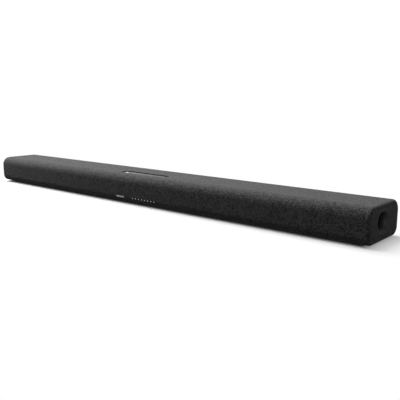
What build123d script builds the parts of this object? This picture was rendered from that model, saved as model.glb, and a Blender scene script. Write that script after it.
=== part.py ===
"""A slim soundbar, about one metre long: a fabric-covered grille over a speaker baffle with eight drivers and two
bass ports, on a bottom shell that carries the boards. X runs along the bar, -Y is the front, +Z is up, and the
origin is under its middle, on the surface that its feet stand on. Every size is in millimetres."""

from build123d import *
import math
import os

# ---------------------------------------------------------------- driving sizes
bar_length = 1015.0
bar_depth = 112.0
bar_height = 63.0  # from the table to the top
foot_drop = 2.5  # how far the feet hold the case off the table

front_top_radius = 19.0
back_top_radius = 20.0
front_bottom_radius = 15.0
back_bottom_radius = 14.0
end_edge_radius = 5.0

fabric_thickness = 0.8
case_wall = 2.8  # the grille's wall with its fabric, and the bottom shell's wall
gap = 0.3  # between pieces that lie side by side
slip = 0.2  # between pieces that slide into each other
thread_gap = 0.05  # between a screw's thread and its pilot hole

# the bottom shell: the underside and the lower back
shell_end_inset = 12.0
shell_front_edge = -40.0
shell_back_height = 44.0

# oval bass port in each end
port_width = 32.0
port_height = 24.5
port_y = -5.0
port_z = 34.5
port_flare = 8.0
port_throat = 12.0
port_tube_length = 68.0
port_tube_wall = 2.0

# speaker baffle: the inner box that carries the drivers
baffle_wall = 2.5
baffle_top = 56.5
baffle_end_inset = 18.5
baffle_corner_radii = (6.0, 15.0, 8.0, 11.2)  # front top, back top, front bottom, back bottom
baffle_lap = 2.0  # how far it laps over the bottom shell's edges

# sound slots in the grille: rows, pitch, slot length, slot width
front_slots = (5, 7.0, 38.0, 4.0)
woofer_slots = (7, 11.0, 74.0, 6.0)
height_slots = (5, 10.0, 50.0, 5.0)

# control panel, sunk into the top
panel_length = 124.0
panel_width = 20.0
panel_y = -25.0
panel_corner = 3.0
panel_sink = 1.8
panel_thickness = 1.4
panel_edge = 0.4
panel_rim = 1.0
panel_rim_sink = 0.2
panel_ledge = 1.5
touch_board_thickness = 1.2

# badge and indicator lights, low on the front
badge_length = 24.0
badge_height = 2.8
badge_thickness = 1.2
badge_x = -44.0
mark_z = 14.6  # height of the badge and of the lights
lights_start = -6.0
light_count = 8
light_pitch = 9.0
light_radius = 0.8
light_strip_height = 3.0
light_strip_thickness = 1.0
strip_setback = 0.8  # past the wall, where its lower corner is already turning in
indicator_board_height = 7.0
indicator_board_thickness = 0.8
indicator_lamp = (1.6, 0.5, 1.2)

# feet
foot_radius = 9.0
foot_bury = 1.0
foot_edge = 0.8
foot_y = 30.0
foot_outer_x = 478.0
foot_inner_x = 218.0

# electronics bay and its two boards
bay_half_width = 134.0
rib_thickness = 2.0
wire_radius = 0.8
wire_pitch = 2.2
wire_lift = 1.2  # under a wire, where it lies along the floor
wire_rise_gap = 8.0
wire_notch_height = 8.0
board_thickness = 1.6
board_height = 13.0  # underside of both boards
board_y = (-36.0, 31.0)
main_board_x = (-120.0, 20.0)
power_board_x = (40.0, 120.0)
wire_starts = (-100.0, 10.0)
standoff_radius = 3.0
board_hole_inset = 5.0
board_screw_radius = 0.9
board_screw_length = 6.0

# pockets in the back, where the plugs go in
pocket_front = 34.0
pocket_top = 27.0
pocket_wall = 2.0
terminal_pocket_x = (-92.0, 2.0)
inlet_pocket_x = (66.0, 112.0)
socket_depth = 12.0
video_socket = (-72.0, 15.0, 6.0)  # place along the bar, width, height
optical_socket_size = (-45.0, 10.0, 9.6)
service_socket = (-18.0, 13.2, 5.8)
inlet_size = (89.0, 20.0, 11.0)

# wall hangers
hanger_x = 330.0
hanger_z = 29.0
hanger_width = 24.0
hanger_height = 22.0
hanger_thickness = 1.5
hanger_corner = 2.0
hanger_entry_radius = 4.5
hanger_entry_drop = 4.5
hanger_slot_width = 4.6
hanger_slot_rise = 9.0
hanger_box_depth = 8.0
hanger_box_wall = 1.5
hanger_box_margin = (3.0, 1.5)

# case screws, driven up from below
case_screw_radius = 1.4
case_screw_head_radius = 2.7
case_screw_head_height = 1.6
case_screw_length = 14.0
case_post_radius = 3.5
case_screw_places = [
    (side * x, y)
    for side in (-1, 1)
    for x, y in ((440.0, -35.0), (440.0, 38.0), (231.0, -35.0), (240.0, 40.0), (126.0, -35.0), (126.0, 41.0))
]

# drivers: where they sit
front_driver_x = (-320.0, -262.0, 262.0, 320.0)
woofer_x = 180.0
woofer_y = 1.0
height_driver_x = 385.0
height_driver_y = 4.0
height_driver_z = 45.0
height_driver_tilt = 15.0
front_seat_depth = 4.0
woofer_seat_depth = 2.0

# drivers: shared sheet and clearances
flange_back = 2.0
gasket_thickness = 0.6
basket_sheet = 1.4
surround_sheet = 0.5
surround_lip = 1.5
cone_sheet = 0.8
cap_sheet = 0.6
coil_sheet = 0.5
spider_sheet = 0.4
cone_gap = 0.3  # between the cone and the surround, and between the coil and the spider
coil_gap = 0.6  # between the coil and the magnet
ear_radius = 3.0
ear_reach = 1.5
driver_screw_radius = 1.0
driver_screw_bite = 3.0


class Driver:
    """One size of driver. Its own frame has its seat at z = 0 and points outwards along +Z."""

    def __init__(self, flange, roll_inner, roll_outer, coil, depth, magnet_radius, magnet_height, cone_depth):
        self.flange = flange
        self.roll_inner = roll_inner
        self.roll_outer = roll_outer
        self.coil = coil
        self.depth = depth
        self.magnet_radius = magnet_radius
        self.magnet_height = magnet_height
        self.cone_depth = cone_depth


front_driver = Driver(22.0, 14.8, 18.5, 7.0, 28.0, 15.0, 10.0, 8.5)
woofer = Driver(42.0, 28.3, 36.0, 12.5, 39.0, 28.0, 14.0, 14.0)
height_driver = Driver(29.0, 19.8, 25.0, 10.0, 30.0, 20.0, 10.0, 10.0)

# ---------------------------------------------------------------- sizes that follow
half_length = bar_length / 2
half_depth = bar_depth / 2
case_bottom = foot_drop
floor_top = case_bottom + case_wall
shell_half_length = half_length - shell_end_inset
baffle_half_length = half_length - baffle_end_inset
baffle_back = half_depth - case_wall - gap
baffle_bottom = floor_top + gap
baffle_ceiling = baffle_top - baffle_wall
strip_front = -half_depth + case_wall + gap + strip_setback
strip_back = strip_front + light_strip_thickness
lamp_back = strip_back + indicator_lamp[1]
baffle_front = lamp_back + indicator_board_thickness + gap  # close behind the lamps' board
baffle_y = (baffle_front, baffle_back)
baffle_z = (baffle_bottom, baffle_top)
cavity_y = (baffle_front + baffle_wall, baffle_back - baffle_wall)
cavity_z = (baffle_bottom + baffle_wall, baffle_ceiling)
front_driver_z = (baffle_bottom + baffle_top) / 2
front_seat_y = cavity_y[0] + front_seat_depth
woofer_seat_z = baffle_ceiling - woofer_seat_depth
board_top = board_height + board_thickness
panel_top = bar_height - panel_sink
panel_bottom = panel_top - panel_thickness
light_places = [lights_start + place * light_pitch for place in range(light_count)]
beyond = 2 * bar_height  # how far a cut runs past the faces that it opens

foot_places = [
    (side * x, y) for x in (foot_outer_x, foot_inner_x) for side in (-1, 1) for y in (-foot_y, foot_y)
]
board_hole_places = [
    (x, y)
    for left, right in (main_board_x, power_board_x)
    for x in (left + board_hole_inset, right - board_hole_inset)
    for y in (board_y[0] + board_hole_inset, board_y[1] - board_hole_inset)
]
front_planes = [
    Plane(origin=(x, front_seat_y, front_driver_z), x_dir=(1, 0, 0), z_dir=(0, -1, 0)) for x in front_driver_x
]
woofer_planes = [Plane.XY.offset(woofer_seat_z).move(Location((side * woofer_x, woofer_y))) for side in (-1, 1)]
tilt = math.radians(height_driver_tilt)
height_planes = [
    Plane(
        origin=(side * height_driver_x, height_driver_y, height_driver_z),
        x_dir=(1, 0, 0),
        z_dir=(0, -math.sin(tilt), math.cos(tilt)),
    )
    for side in (-1, 1)
]
driver_sets = ((front_driver, front_planes), (woofer, woofer_planes), (height_driver, height_planes))

# the wires run in lanes, the outermost driver's straight under the middle of its tilted magnet
wire_floor_z = floor_top + wire_lift + wire_radius
height_magnet_back = height_planes[0].origin - height_planes[0].z_dir * height_driver.depth
wire_lane_y = height_magnet_back.Y + (height_magnet_back.Z - wire_floor_z) * math.tan(tilt)
wire_lanes_y = (wire_lane_y - 5 * wire_pitch, wire_lane_y + 2 * wire_pitch)

os.makedirs("parts", exist_ok=True)


# ---------------------------------------------------------------- shapes that several pieces share
def block(x, y, z, mode=Mode.ADD):
    """A box between two limits on each axis, in the part that is being built."""
    with Locations(((x[0] + x[1]) / 2, (y[0] + y[1]) / 2, (z[0] + z[1]) / 2)):
        Box(x[1] - x[0], y[1] - y[0], z[1] - z[0], mode=mode)


def end_plane(side, x):
    """The plane across the bar at a distance from its middle, looking out of that end."""
    return Plane(origin=(side * x, port_y, port_z), x_dir=(0, 1, 0), z_dir=(side, 0, 0))


def section(x, y, z, radii):
    """A section across the bar, between limits on Y and Z, with a radius for each corner."""
    corners = ((0, -1), (-1, -1), (0, 0), (-1, 0))
    with BuildSketch(Plane.YZ.offset(x)) as outline:
        with Locations(((y[0] + y[1]) / 2, (z[0] + z[1]) / 2)):
            Rectangle(y[1] - y[0], z[1] - z[0])
        for (across, up), radius in zip(corners, radii):
            fillet(vertices().group_by(Axis.X)[across].sort_by(Axis.Y)[up], radius)
    return outline.sketch


def bar_form(inset):
    """The bar's outer form drawn in by inset, with a flared port mouth in each end."""
    radii = [
        radius - inset for radius in (front_top_radius, back_top_radius, front_bottom_radius, back_bottom_radius)
    ]
    end_x = half_length - inset
    with BuildPart() as form:
        outline = section(
            -end_x, (-half_depth + inset, half_depth - inset), (case_bottom + inset, bar_height - inset), radii
        )
        extrude(outline, amount=2 * end_x)
        flat_ends = faces().filter_by(GeomType.PLANE).group_by(Axis.X)
        fillet(flat_ends[0].edges() + flat_ends[-1].edges(), end_edge_radius - inset)
        for side in (-1, 1):
            with BuildSketch(end_plane(side, end_x)) as mouth:
                SlotOverall(port_width + 2 * inset, port_height + 2 * inset)
            extrude(mouth.sketch, amount=-(port_throat - inset), mode=Mode.SUBTRACT)
            end_face = faces().filter_by(GeomType.PLANE).sort_by(Axis.X)[0 if side < 0 else -1]
            fillet(end_face.inner_wires()[0].edges(), port_flare - inset)
    return form.part


def shell_space(grown):
    """The space that belongs to the bottom shell, grown on the sides where the cover meets it."""
    x = shell_half_length + grown
    with BuildPart() as space:
        block((-x, x), (shell_front_edge - grown, beyond), (-beyond, shell_back_height + grown))
    return space.part


def flare_plugs(grown):
    """The oval at each end inside which the port's flare shows."""
    with BuildPart() as plugs:
        for side in (-1, 1):
            with BuildSketch(end_plane(side, half_length)) as oval:
                SlotOverall(port_width + 2 * (port_flare + grown), port_height + 2 * (port_flare + grown))
            extrude(oval.sketch, amount=-port_throat)
    return plugs.part


def panel_opening(grown):
    """The rounded opening in the top for the control panel's frame."""
    with BuildPart() as opening:
        with BuildSketch(Plane.XY.offset(baffle_top)) as outline:
            with Locations((0, panel_y)):
                RectangleRounded(
                    panel_length + 2 * (panel_rim + grown),
                    panel_width + 2 * (panel_rim + grown),
                    panel_corner + panel_rim + grown,
                )
        extrude(outline.sketch, amount=beyond)
    return opening.part


def badge_form(grown):
    """The badge's slot-shaped plate, grown all round and inwards."""
    with BuildPart() as plate:
        with BuildSketch(Plane.XZ.offset(half_depth)) as outline:
            with Locations((badge_x, mark_z)):
                SlotOverall(badge_length + 2 * grown, badge_height + 2 * grown)
        extrude(outline.sketch, amount=-(badge_thickness + grown))
    return plate.part


def light_pins(radius, start_y, length):
    """A row of round pins through the front, one for each light."""
    with BuildPart() as pins:
        with BuildSketch(Plane.XZ.offset(-start_y)) as rounds:
            with Locations(*[(x, mark_z) for x in light_places]):
                Circle(radius)
        extrude(rounds.sketch, amount=length)
    return pins.part


skin_form = bar_form(0)
grille_form = bar_form(fabric_thickness)
inner_form = bar_form(case_wall)
pin_start = strip_front + light_strip_thickness / 2
pin_holes = light_pins(light_radius + slip, pin_start, beyond)

# ---------------------------------------------------------------- fabric cover
with BuildPart() as fabric_cover:
    add(skin_form)
    add(grille_form, mode=Mode.SUBTRACT)
    add(shell_space(gap / 2), mode=Mode.SUBTRACT)
    add(flare_plugs(gap / 2), mode=Mode.SUBTRACT)
    add(panel_opening(slip), mode=Mode.SUBTRACT)
    add(badge_form(gap / 2), mode=Mode.SUBTRACT)
    add(pin_holes, mode=Mode.SUBTRACT)
fabric_cover.part.label = "fabric_cover"
export_step(fabric_cover.part, "parts/fabric_cover.step")

# ---------------------------------------------------------------- grille frame and end caps
with BuildPart() as grille_walls:
    add(skin_form)
    add(flare_plugs(0), mode=Mode.INTERSECT)
    add(grille_form)
    add(inner_form, mode=Mode.SUBTRACT)
    add(shell_space(gap / 2), mode=Mode.SUBTRACT)
    add(panel_opening(slip), mode=Mode.SUBTRACT)
    add(badge_form(gap / 2), mode=Mode.SUBTRACT)
    add(pin_holes, mode=Mode.SUBTRACT)

cap_joint = half_length - 24.0  # where an end cap meets the grille frame
with BuildPart() as grille_frame:
    add(grille_walls.part)
    block((-cap_joint, cap_joint), (-beyond, beyond), (-beyond, beyond), mode=Mode.INTERSECT)
    for places, (rows, pitch, length, width), across, plane in (
        (front_driver_x, front_slots, front_driver_z, Plane.XZ.offset(half_depth)),
        ((-woofer_x, woofer_x), woofer_slots, woofer_y, Plane.XY.offset(bar_height)),
        ((-height_driver_x, height_driver_x), height_slots, height_driver_y, Plane.XY.offset(bar_height)),
    ):
        with BuildSketch(plane):
            with Locations(*[(x, across) for x in places]):
                with GridLocations(0, pitch, 1, rows):
                    SlotOverall(length, width)
        extrude(amount=-2 * case_wall, mode=Mode.SUBTRACT)
grille_frame.part.label = "grille_frame"
export_step(grille_frame.part, "parts/grille_frame.step")

for name, side in (("end_cap_left", -1), ("end_cap_right", 1)):
    limits = sorted((side * (cap_joint + slip), side * (half_length + beyond)))
    with BuildPart() as end_cap:
        add(grille_walls.part)
        block(limits, (-beyond, beyond), (-beyond, beyond), mode=Mode.INTERSECT)
    end_cap.part.label = name
    export_step(end_cap.part, f"parts/{name}.step")

# ---------------------------------------------------------------- port tubes
tube_end = half_length - port_throat - slip
for name, side in (("port_tube_left", -1), ("port_tube_right", 1)):
    with BuildPart() as port_tube:
        with BuildSketch(end_plane(side, tube_end)):
            SlotOverall(port_width + 2 * port_tube_wall, port_height + 2 * port_tube_wall)
            SlotOverall(port_width, port_height, mode=Mode.SUBTRACT)
        extrude(amount=-port_tube_length)
        inner_end = faces().filter_by(Axis.X).sort_by(Axis.X)[0 if side > 0 else -1]
        fillet(inner_end.inner_wires()[0].edges(), port_tube_wall * 0.8)
    port_tube.part.label = name
    export_step(port_tube.part, f"parts/{name}.step")

# ---------------------------------------------------------------- bottom shell
rib_limits = [
    sorted((side * (bay_half_width - rib_thickness / 2), side * (bay_half_width + rib_thickness / 2)))
    for side in (-1, 1)
]
baffle_back_edge = shell_back_height - baffle_lap
sockets = (video_socket, optical_socket_size, service_socket, inlet_size)


def hanger_box(grown):
    """The blind boxes behind the wall hangers, grown by a wall."""
    half_width = hanger_width / 2 - hanger_box_margin[0] + grown
    half_height = hanger_height / 2 - hanger_box_margin[1] + grown
    inner_y = half_depth - hanger_thickness - hanger_box_depth - grown
    with BuildPart() as boxes:
        for side in (-1, 1):
            block(
                (side * hanger_x - half_width, side * hanger_x + half_width),
                (inner_y, half_depth),
                (hanger_z - half_height, hanger_z + half_height),
            )
    return boxes.part


def plug_pockets(grown):
    """The two pockets for plugs, open to the back and below, grown by a wall."""
    with BuildPart() as pockets:
        for left, right in (terminal_pocket_x, inlet_pocket_x):
            block((left - grown, right + grown), (pocket_front - grown, beyond), (-beyond, pocket_top + grown))
    return pockets.part


with BuildPart() as shell_fittings:
    add(plug_pockets(pocket_wall))
    add(hanger_box(hanger_box_wall))
    with BuildSketch(Plane.XY.offset(case_bottom)):
        with Locations(*board_hole_places):
            Circle(standoff_radius)
    extrude(amount=board_height - case_bottom)
    for limits in rib_limits:
        block(limits, (shell_front_edge + baffle_lap, baffle_back), (case_bottom, baffle_back_edge - gap))
        block(limits, (shell_front_edge + baffle_lap, cavity_y[1] - gap), (case_bottom, shell_back_height))
        block(
            limits,
            wire_lanes_y,
            (floor_top, floor_top + wire_notch_height),
            mode=Mode.SUBTRACT,
        )
    add(skin_form, mode=Mode.INTERSECT)

with BuildPart() as bottom_shell:
    add(skin_form)
    add(inner_form, mode=Mode.SUBTRACT)
    add(shell_space(-gap / 2), mode=Mode.INTERSECT)
    add(shell_fittings.part)
    add(plug_pockets(0), mode=Mode.SUBTRACT)
    add(hanger_box(0), mode=Mode.SUBTRACT)
    for x, width, height in sockets:
        block(
            (x - width / 2 - slip, x + width / 2 + slip),
            (pocket_front - 2 * pocket_wall, pocket_front + pocket_wall),
            (board_top - slip, board_top + height + slip),
            mode=Mode.SUBTRACT,
        )
    with BuildSketch(Plane.XZ.offset(-half_depth)):
        with Locations((-hanger_x, hanger_z), (hanger_x, hanger_z)):
            RectangleRounded(hanger_width + 2 * slip, hanger_height + 2 * slip, hanger_corner + slip)
    extrude(amount=hanger_thickness, mode=Mode.SUBTRACT)
    with BuildSketch(Plane.XY.offset(case_bottom)):
        with Locations(*foot_places):
            Circle(foot_radius + slip)
    extrude(amount=foot_bury, mode=Mode.SUBTRACT)
    with BuildSketch(Plane.XY.offset(case_bottom)):
        with Locations(*case_screw_places):
            Circle(case_screw_head_radius + slip)
    extrude(amount=case_screw_head_height, mode=Mode.SUBTRACT)
    with BuildSketch(Plane.XY.offset(case_bottom)):
        with Locations(*case_screw_places):
            Circle(case_screw_radius + slip)
    extrude(amount=case_wall, mode=Mode.SUBTRACT)
    with BuildSketch(Plane.XY.offset(board_height)):
        with Locations(*board_hole_places):
            Circle(board_screw_radius + thread_gap)
    extrude(amount=-board_screw_length, mode=Mode.SUBTRACT)
bottom_shell.part.label = "bottom_shell"
export_step(bottom_shell.part, "parts/bottom_shell.step")

# ---------------------------------------------------------------- rubber feet
with BuildPart() as rubber_feet:
    with BuildSketch():
        with Locations(*foot_places):
            Circle(foot_radius)
    extrude(amount=foot_drop + foot_bury)
    fillet(faces().group_by(Axis.Z)[0].edges(), foot_edge)
rubber_feet.part.label = "rubber_feet"
export_step(rubber_feet.part, "parts/rubber_feet.step")

# ---------------------------------------------------------------- wall hangers
with BuildPart() as keyhole_plates:
    with BuildSketch(Plane.XZ.offset(-half_depth)):
        with Locations((-hanger_x, hanger_z), (hanger_x, hanger_z)):
            RectangleRounded(hanger_width, hanger_height, hanger_corner)
            with Locations((0, -hanger_entry_drop)):
                Circle(hanger_entry_radius, mode=Mode.SUBTRACT)
            with Locations((0, (hanger_slot_rise - hanger_entry_drop) / 2 - hanger_slot_width / 4)):
                Rectangle(hanger_slot_width, hanger_slot_rise, mode=Mode.SUBTRACT)
    extrude(amount=hanger_thickness)
keyhole_plates.part.label = "keyhole_plates"
export_step(keyhole_plates.part, "parts/keyhole_plates.step")

# ---------------------------------------------------------------- case screws
with BuildPart() as case_screws:
    with BuildSketch(Plane.XY.offset(case_bottom)):
        with Locations(*case_screw_places):
            Circle(case_screw_head_radius)
    extrude(amount=case_screw_head_height)
    with BuildSketch(Plane.XY.offset(case_bottom)):
        with Locations(*case_screw_places):
            Circle(case_screw_radius)
    extrude(amount=case_screw_length)
    with BuildSketch(Plane.XY.offset(case_bottom)):
        with Locations(*case_screw_places):
            RegularPolygon(case_screw_head_radius / 2, 6)
    extrude(amount=case_screw_head_height * 0.6, mode=Mode.SUBTRACT)
case_screws.part.label = "case_screws"
export_step(case_screws.part, "parts/case_screws.step")

# ---------------------------------------------------------------- speaker baffle
side_cavity = (bay_half_width + rib_thickness / 2, baffle_half_length - baffle_wall)
middle_cavity = bay_half_width - rib_thickness / 2
ear_angle = 45.0
ribbon_width = 8.0
ribbon_thickness = 0.4
touch_ribbon_place = (-10.0, panel_y)
indicator_ribbon_x = 8.0
indicator_ribbon_z = mark_z + 1.6

with BuildPart() as height_seats:
    for plane in height_planes:
        with BuildSketch(plane):
            Circle(height_driver.flange + gap)
            with PolarLocations(height_driver.flange + ear_reach, 4, start_angle=ear_angle):
                Circle(ear_radius + gap)
        extrude(amount=baffle_top - height_driver_z)
    block(
        (-baffle_half_length, baffle_half_length), cavity_y, (0, baffle_ceiling + baffle_wall / 2), mode=Mode.INTERSECT
    )

with BuildPart() as speaker_baffle:
    extrude(section(-baffle_half_length, baffle_y, baffle_z, baffle_corner_radii), amount=2 * baffle_half_length)
    for start, end in ((-side_cavity[1], -side_cavity[0]), (-middle_cavity, middle_cavity), side_cavity):
        cavity_radii = [radius - baffle_wall for radius in baffle_corner_radii]
        extrude(section(start, cavity_y, cavity_z, cavity_radii), amount=end - start, mode=Mode.SUBTRACT)
    floor_front = shell_front_edge + baffle_lap
    for x, y, z in (
        ((-side_cavity[1], side_cavity[1]), (floor_front, beyond), (0, baffle_corner_radii[3] + cavity_z[0])),
        ((-side_cavity[1], side_cavity[1]), (cavity_y[1] - baffle_wall, beyond), (0, baffle_back_edge)),
        *((limits, (floor_front - gap, cavity_y[1]), (0, shell_back_height + gap)) for limits in rib_limits),
    ):
        block(x, y, z, mode=Mode.SUBTRACT)
    add(height_seats.part)
    for driver, planes, seat_depth in (
        (front_driver, front_planes, front_seat_depth),
        (woofer, woofer_planes, woofer_seat_depth),
    ):
        for plane in planes:
            with BuildSketch(plane):
                Circle(driver.flange + gap)
                with PolarLocations(driver.flange + ear_reach, 4, start_angle=ear_angle):
                    Circle(ear_radius + gap)
            extrude(amount=seat_depth)
    with BuildSketch(Plane.XY.offset(baffle_bottom)):
        with Locations(*case_screw_places):
            Circle(case_post_radius)
    extrude(amount=baffle_ceiling + baffle_wall / 2 - baffle_bottom)
    for driver, planes in driver_sets:
        for plane in planes:
            with BuildSketch(plane):
                Circle(driver.roll_outer + surround_lip / 3)
            extrude(amount=baffle_top, mode=Mode.SUBTRACT)
            with BuildSketch(plane):
                with PolarLocations(driver.flange + ear_reach, 4, start_angle=ear_angle):
                    Circle(driver_screw_radius + thread_gap)
            extrude(amount=driver_screw_bite + gap, mode=Mode.SUBTRACT)
    with BuildSketch(Plane.XY.offset(baffle_bottom)):
        with Locations(*case_screw_places):
            Circle(case_screw_radius + thread_gap)
    extrude(amount=case_screw_length, mode=Mode.SUBTRACT)
    for side in (-1, 1):
        with BuildSketch(end_plane(side, baffle_half_length)):
            outer = 2 * (port_tube_wall + slip)
            SlotOverall(port_width + outer, port_height + outer)
        extrude(amount=-baffle_wall, mode=Mode.SUBTRACT)
    block(
        (touch_ribbon_place[0] - ribbon_width / 2 - slip, touch_ribbon_place[0] + ribbon_width / 2 + slip),
        (touch_ribbon_place[1] - 2 * ribbon_thickness, touch_ribbon_place[1] + 2 * ribbon_thickness),
        (baffle_ceiling - gap, beyond),
        mode=Mode.SUBTRACT,
    )
    block(
        (indicator_ribbon_x - ribbon_width / 2 - slip, indicator_ribbon_x + ribbon_width / 2 + slip),
        (-beyond, cavity_y[0] + gap),
        (indicator_ribbon_z - 2 * ribbon_thickness, indicator_ribbon_z + 2 * ribbon_thickness),
        mode=Mode.SUBTRACT,
    )
speaker_baffle.part.label = "speaker_baffle"
export_step(speaker_baffle.part, "parts/speaker_baffle.step")

# ---------------------------------------------------------------- control panel, its frame and its board
with BuildPart() as panel_frame:
    frame_outer = (panel_length + 2 * panel_rim, panel_width + 2 * panel_rim)
    ledge_opening = (panel_length - 2 * panel_ledge, panel_width - 2 * panel_ledge)
    with BuildSketch(Plane.XY.offset(baffle_top)):
        with Locations((0, panel_y)):
            RectangleRounded(*frame_outer, panel_corner + panel_rim)
    extrude(amount=bar_height - panel_rim_sink - baffle_top)
    with BuildSketch(Plane.XY.offset(panel_bottom)):
        with Locations((0, panel_y)):
            RectangleRounded(panel_length + 2 * slip, panel_width + 2 * slip, panel_corner + slip)
    extrude(amount=panel_sink + panel_thickness, mode=Mode.SUBTRACT)
    with BuildSketch(Plane.XY.offset(baffle_top)):
        with Locations((0, panel_y)):
            RectangleRounded(*ledge_opening, panel_corner - panel_ledge)
    extrude(amount=panel_bottom - baffle_top, mode=Mode.SUBTRACT)
panel_frame.part.label = "panel_frame"
export_step(panel_frame.part, "parts/panel_frame.step")

with BuildPart() as control_panel:
    with BuildSketch(Plane.XY.offset(panel_bottom)):
        with Locations((0, panel_y)):
            RectangleRounded(panel_length, panel_width, panel_corner)
    extrude(amount=panel_thickness)
    fillet(faces().sort_by(Axis.Z)[-1].edges(), panel_edge)
control_panel.part.label = "control_panel"
export_step(control_panel.part, "parts/control_panel.step")

touch_board_z = panel_bottom - touch_board_thickness
with BuildPart() as touch_board:
    with BuildSketch(Plane.XY.offset(touch_board_z)):
        with Locations((0, panel_y)):
            RectangleRounded(
                ledge_opening[0] - 2 * gap, ledge_opening[1] - 2 * gap, panel_corner - panel_ledge - gap
            )
    extrude(amount=touch_board_thickness)
touch_board.part.label = "touch_board"
export_step(touch_board.part, "parts/touch_board.step")

# ---------------------------------------------------------------- badge
front_badge = badge_form(0)
front_badge.label = "front_badge"
export_step(front_badge, "parts/front_badge.step")

# ---------------------------------------------------------------- indicator board and light guide
strip_x = (light_places[0] - light_pitch / 2, light_places[-1] + light_pitch / 2)
with BuildPart() as light_guide:
    block(
        strip_x, (strip_front, strip_back), (mark_z - light_strip_height / 2, mark_z + light_strip_height / 2)
    )
    add(light_pins(light_radius, pin_start, half_depth + pin_start - gap))
light_guide.part.label = "light_guide"
export_step(light_guide.part, "parts/light_guide.step")

with BuildPart() as indicator_board:
    board_low = mark_z - indicator_board_height / 2
    block(strip_x, (lamp_back, lamp_back + indicator_board_thickness), (board_low, board_low + indicator_board_height))
    for x in light_places:
        block(
            (x - indicator_lamp[0] / 2, x + indicator_lamp[0] / 2),
            (strip_back, lamp_back),
            (mark_z - indicator_lamp[2] / 2, mark_z + indicator_lamp[2] / 2),
        )
indicator_board.part.label = "indicator_board"
export_step(indicator_board.part, "parts/indicator_board.step")

# ---------------------------------------------------------------- main board and power board
for name, limits in (("main_board", main_board_x), ("power_board", power_board_x)):
    with BuildPart() as board:
        block(limits, board_y, (board_height, board_top))
        with BuildSketch(Plane.XY.offset(board_height)):
            with Locations(*[place for place in board_hole_places if limits[0] < place[0] < limits[1]]):
                Circle(board_screw_radius + slip)
        extrude(amount=board_thickness, mode=Mode.SUBTRACT)
    board.part.label = name
    export_step(board.part, f"parts/{name}.step")

with BuildPart() as board_screws:
    with BuildSketch(Plane.XY.offset(board_top)):
        with Locations(*board_hole_places):
            Circle(2 * board_screw_radius)
    extrude(amount=board_screw_radius * 1.5)
    with BuildSketch(Plane.XY.offset(board_top)):
        with Locations(*board_hole_places):
            Circle(board_screw_radius)
    extrude(amount=-board_screw_length)
board_screws.part.label = "board_screws"
export_step(board_screws.part, "parts/board_screws.step")

# chips and connectors on the two boards: middle along the bar, middle front to back, width, depth, height
amplifier_chip = (-88.0, -10.0, 26.0, 14.0, 1.4)
touch_connector = (touch_ribbon_place[0], touch_ribbon_place[1], 11.0, 4.0, 3.0)
chips = (
    amplifier_chip, touch_connector,
    (-40.0, -8.0, 17.0, 17.0, 1.6), (-14.0, -6.0, 11.0, 11.0, 1.2), (-40.0, 10.0, 9.0, 12.0, 1.2),
    (-62.0, 12.0, 6.0, 6.0, 2.4), (0.0, 10.0, 12.0, 9.0, 2.8), (-100.0, 14.0, 8.0, 8.0, 5.0),
    (-88.0, 14.0, 8.0, 8.0, 5.0), (52.0, 14.0, 16.0, 10.0, 6.0), (108.0, 14.0, 10.0, 8.0, 9.0),
)
with BuildPart() as board_components:
    for x, y, width, depth, height in chips:
        block((x - width / 2, x + width / 2), (y - depth / 2, y + depth / 2), (board_top, board_top + height))
board_components.part.label = "board_components"
export_step(board_components.part, "parts/board_components.step")

sink_size = (54.0, 26.0, 16.0)
sink_base = 3.0
sink_fins = 14
fin_thickness = 1.4
sink_bottom = board_top + amplifier_chip[4]
with BuildPart() as heat_sink:
    with Locations((amplifier_chip[0], amplifier_chip[1], sink_bottom)):
        Box(sink_size[0], sink_size[1], sink_base, align=(Align.CENTER, Align.CENTER, Align.MIN))
        with GridLocations((sink_size[0] - fin_thickness) / (sink_fins - 1), 0, sink_fins, 1):
            Box(fin_thickness, sink_size[1], sink_size[2], align=(Align.CENTER, Align.CENTER, Align.MIN))
heat_sink.part.label = "heat_sink"
export_step(heat_sink.part, "parts/heat_sink.step")

transformer_place = (72.0, -10.0)
transformer_core = (28.0, 12.0, 22.0)
transformer_edge = 1.0
transformer_coil = (19.0, 24.0, 16.0)
transformer_coil_corner = 5.0
transformer_coil_lift = (transformer_core[2] - transformer_coil[2]) / 2
with BuildPart() as power_transformer:
    with Locations((*transformer_place, board_top)):
        Box(*transformer_core, align=(Align.CENTER, Align.CENTER, Align.MIN))
    fillet(edges().filter_by(Axis.Z), transformer_edge)
    with BuildSketch(Plane.XY.offset(board_top + transformer_coil_lift)):
        with Locations(transformer_place):
            RectangleRounded(transformer_coil[0], transformer_coil[1], transformer_coil_corner)
    extrude(amount=transformer_coil[2])
power_transformer.part.label = "power_transformer"
export_step(power_transformer.part, "parts/power_transformer.step")

# each capacitor: place along the bar, place front to back, radius, height
capacitor_edge = 0.7
capacitors = ((106.0, -20.0, 8.0, 26.0), (104.0, -2.0, 5.0, 18.0), (52.0, -26.0, 5.0, 18.0), (92.0, 8.0, 4.0, 12.0))
with BuildPart() as power_capacitors:
    for x, y, radius, height in capacitors:
        with Locations((x, y, board_top)):
            Cylinder(radius, height, align=(Align.CENTER, Align.CENTER, Align.MIN))
    fillet(faces().filter_by(Plane.XY).edges(), capacitor_edge)
power_capacitors.part.label = "power_capacitors"
export_step(power_capacitors.part, "parts/power_capacitors.step")

# ---------------------------------------------------------------- sockets
socket_wall = 0.8
socket_mouth_y = pocket_front + gap
socket_back_y = socket_mouth_y - socket_depth
socket_mouth_depth = 9.0
tongue_thickness = 1.2
tongue_setback = 1.0
shutter_size = 6.2
shutter_thickness = 0.6
shutter_mouth = shutter_size + 2 * slip
optical_axis_z = board_top + optical_socket_size[2] / 2 + shutter_mouth / 2 - shutter_thickness
hinge_radius = 0.35


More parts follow.
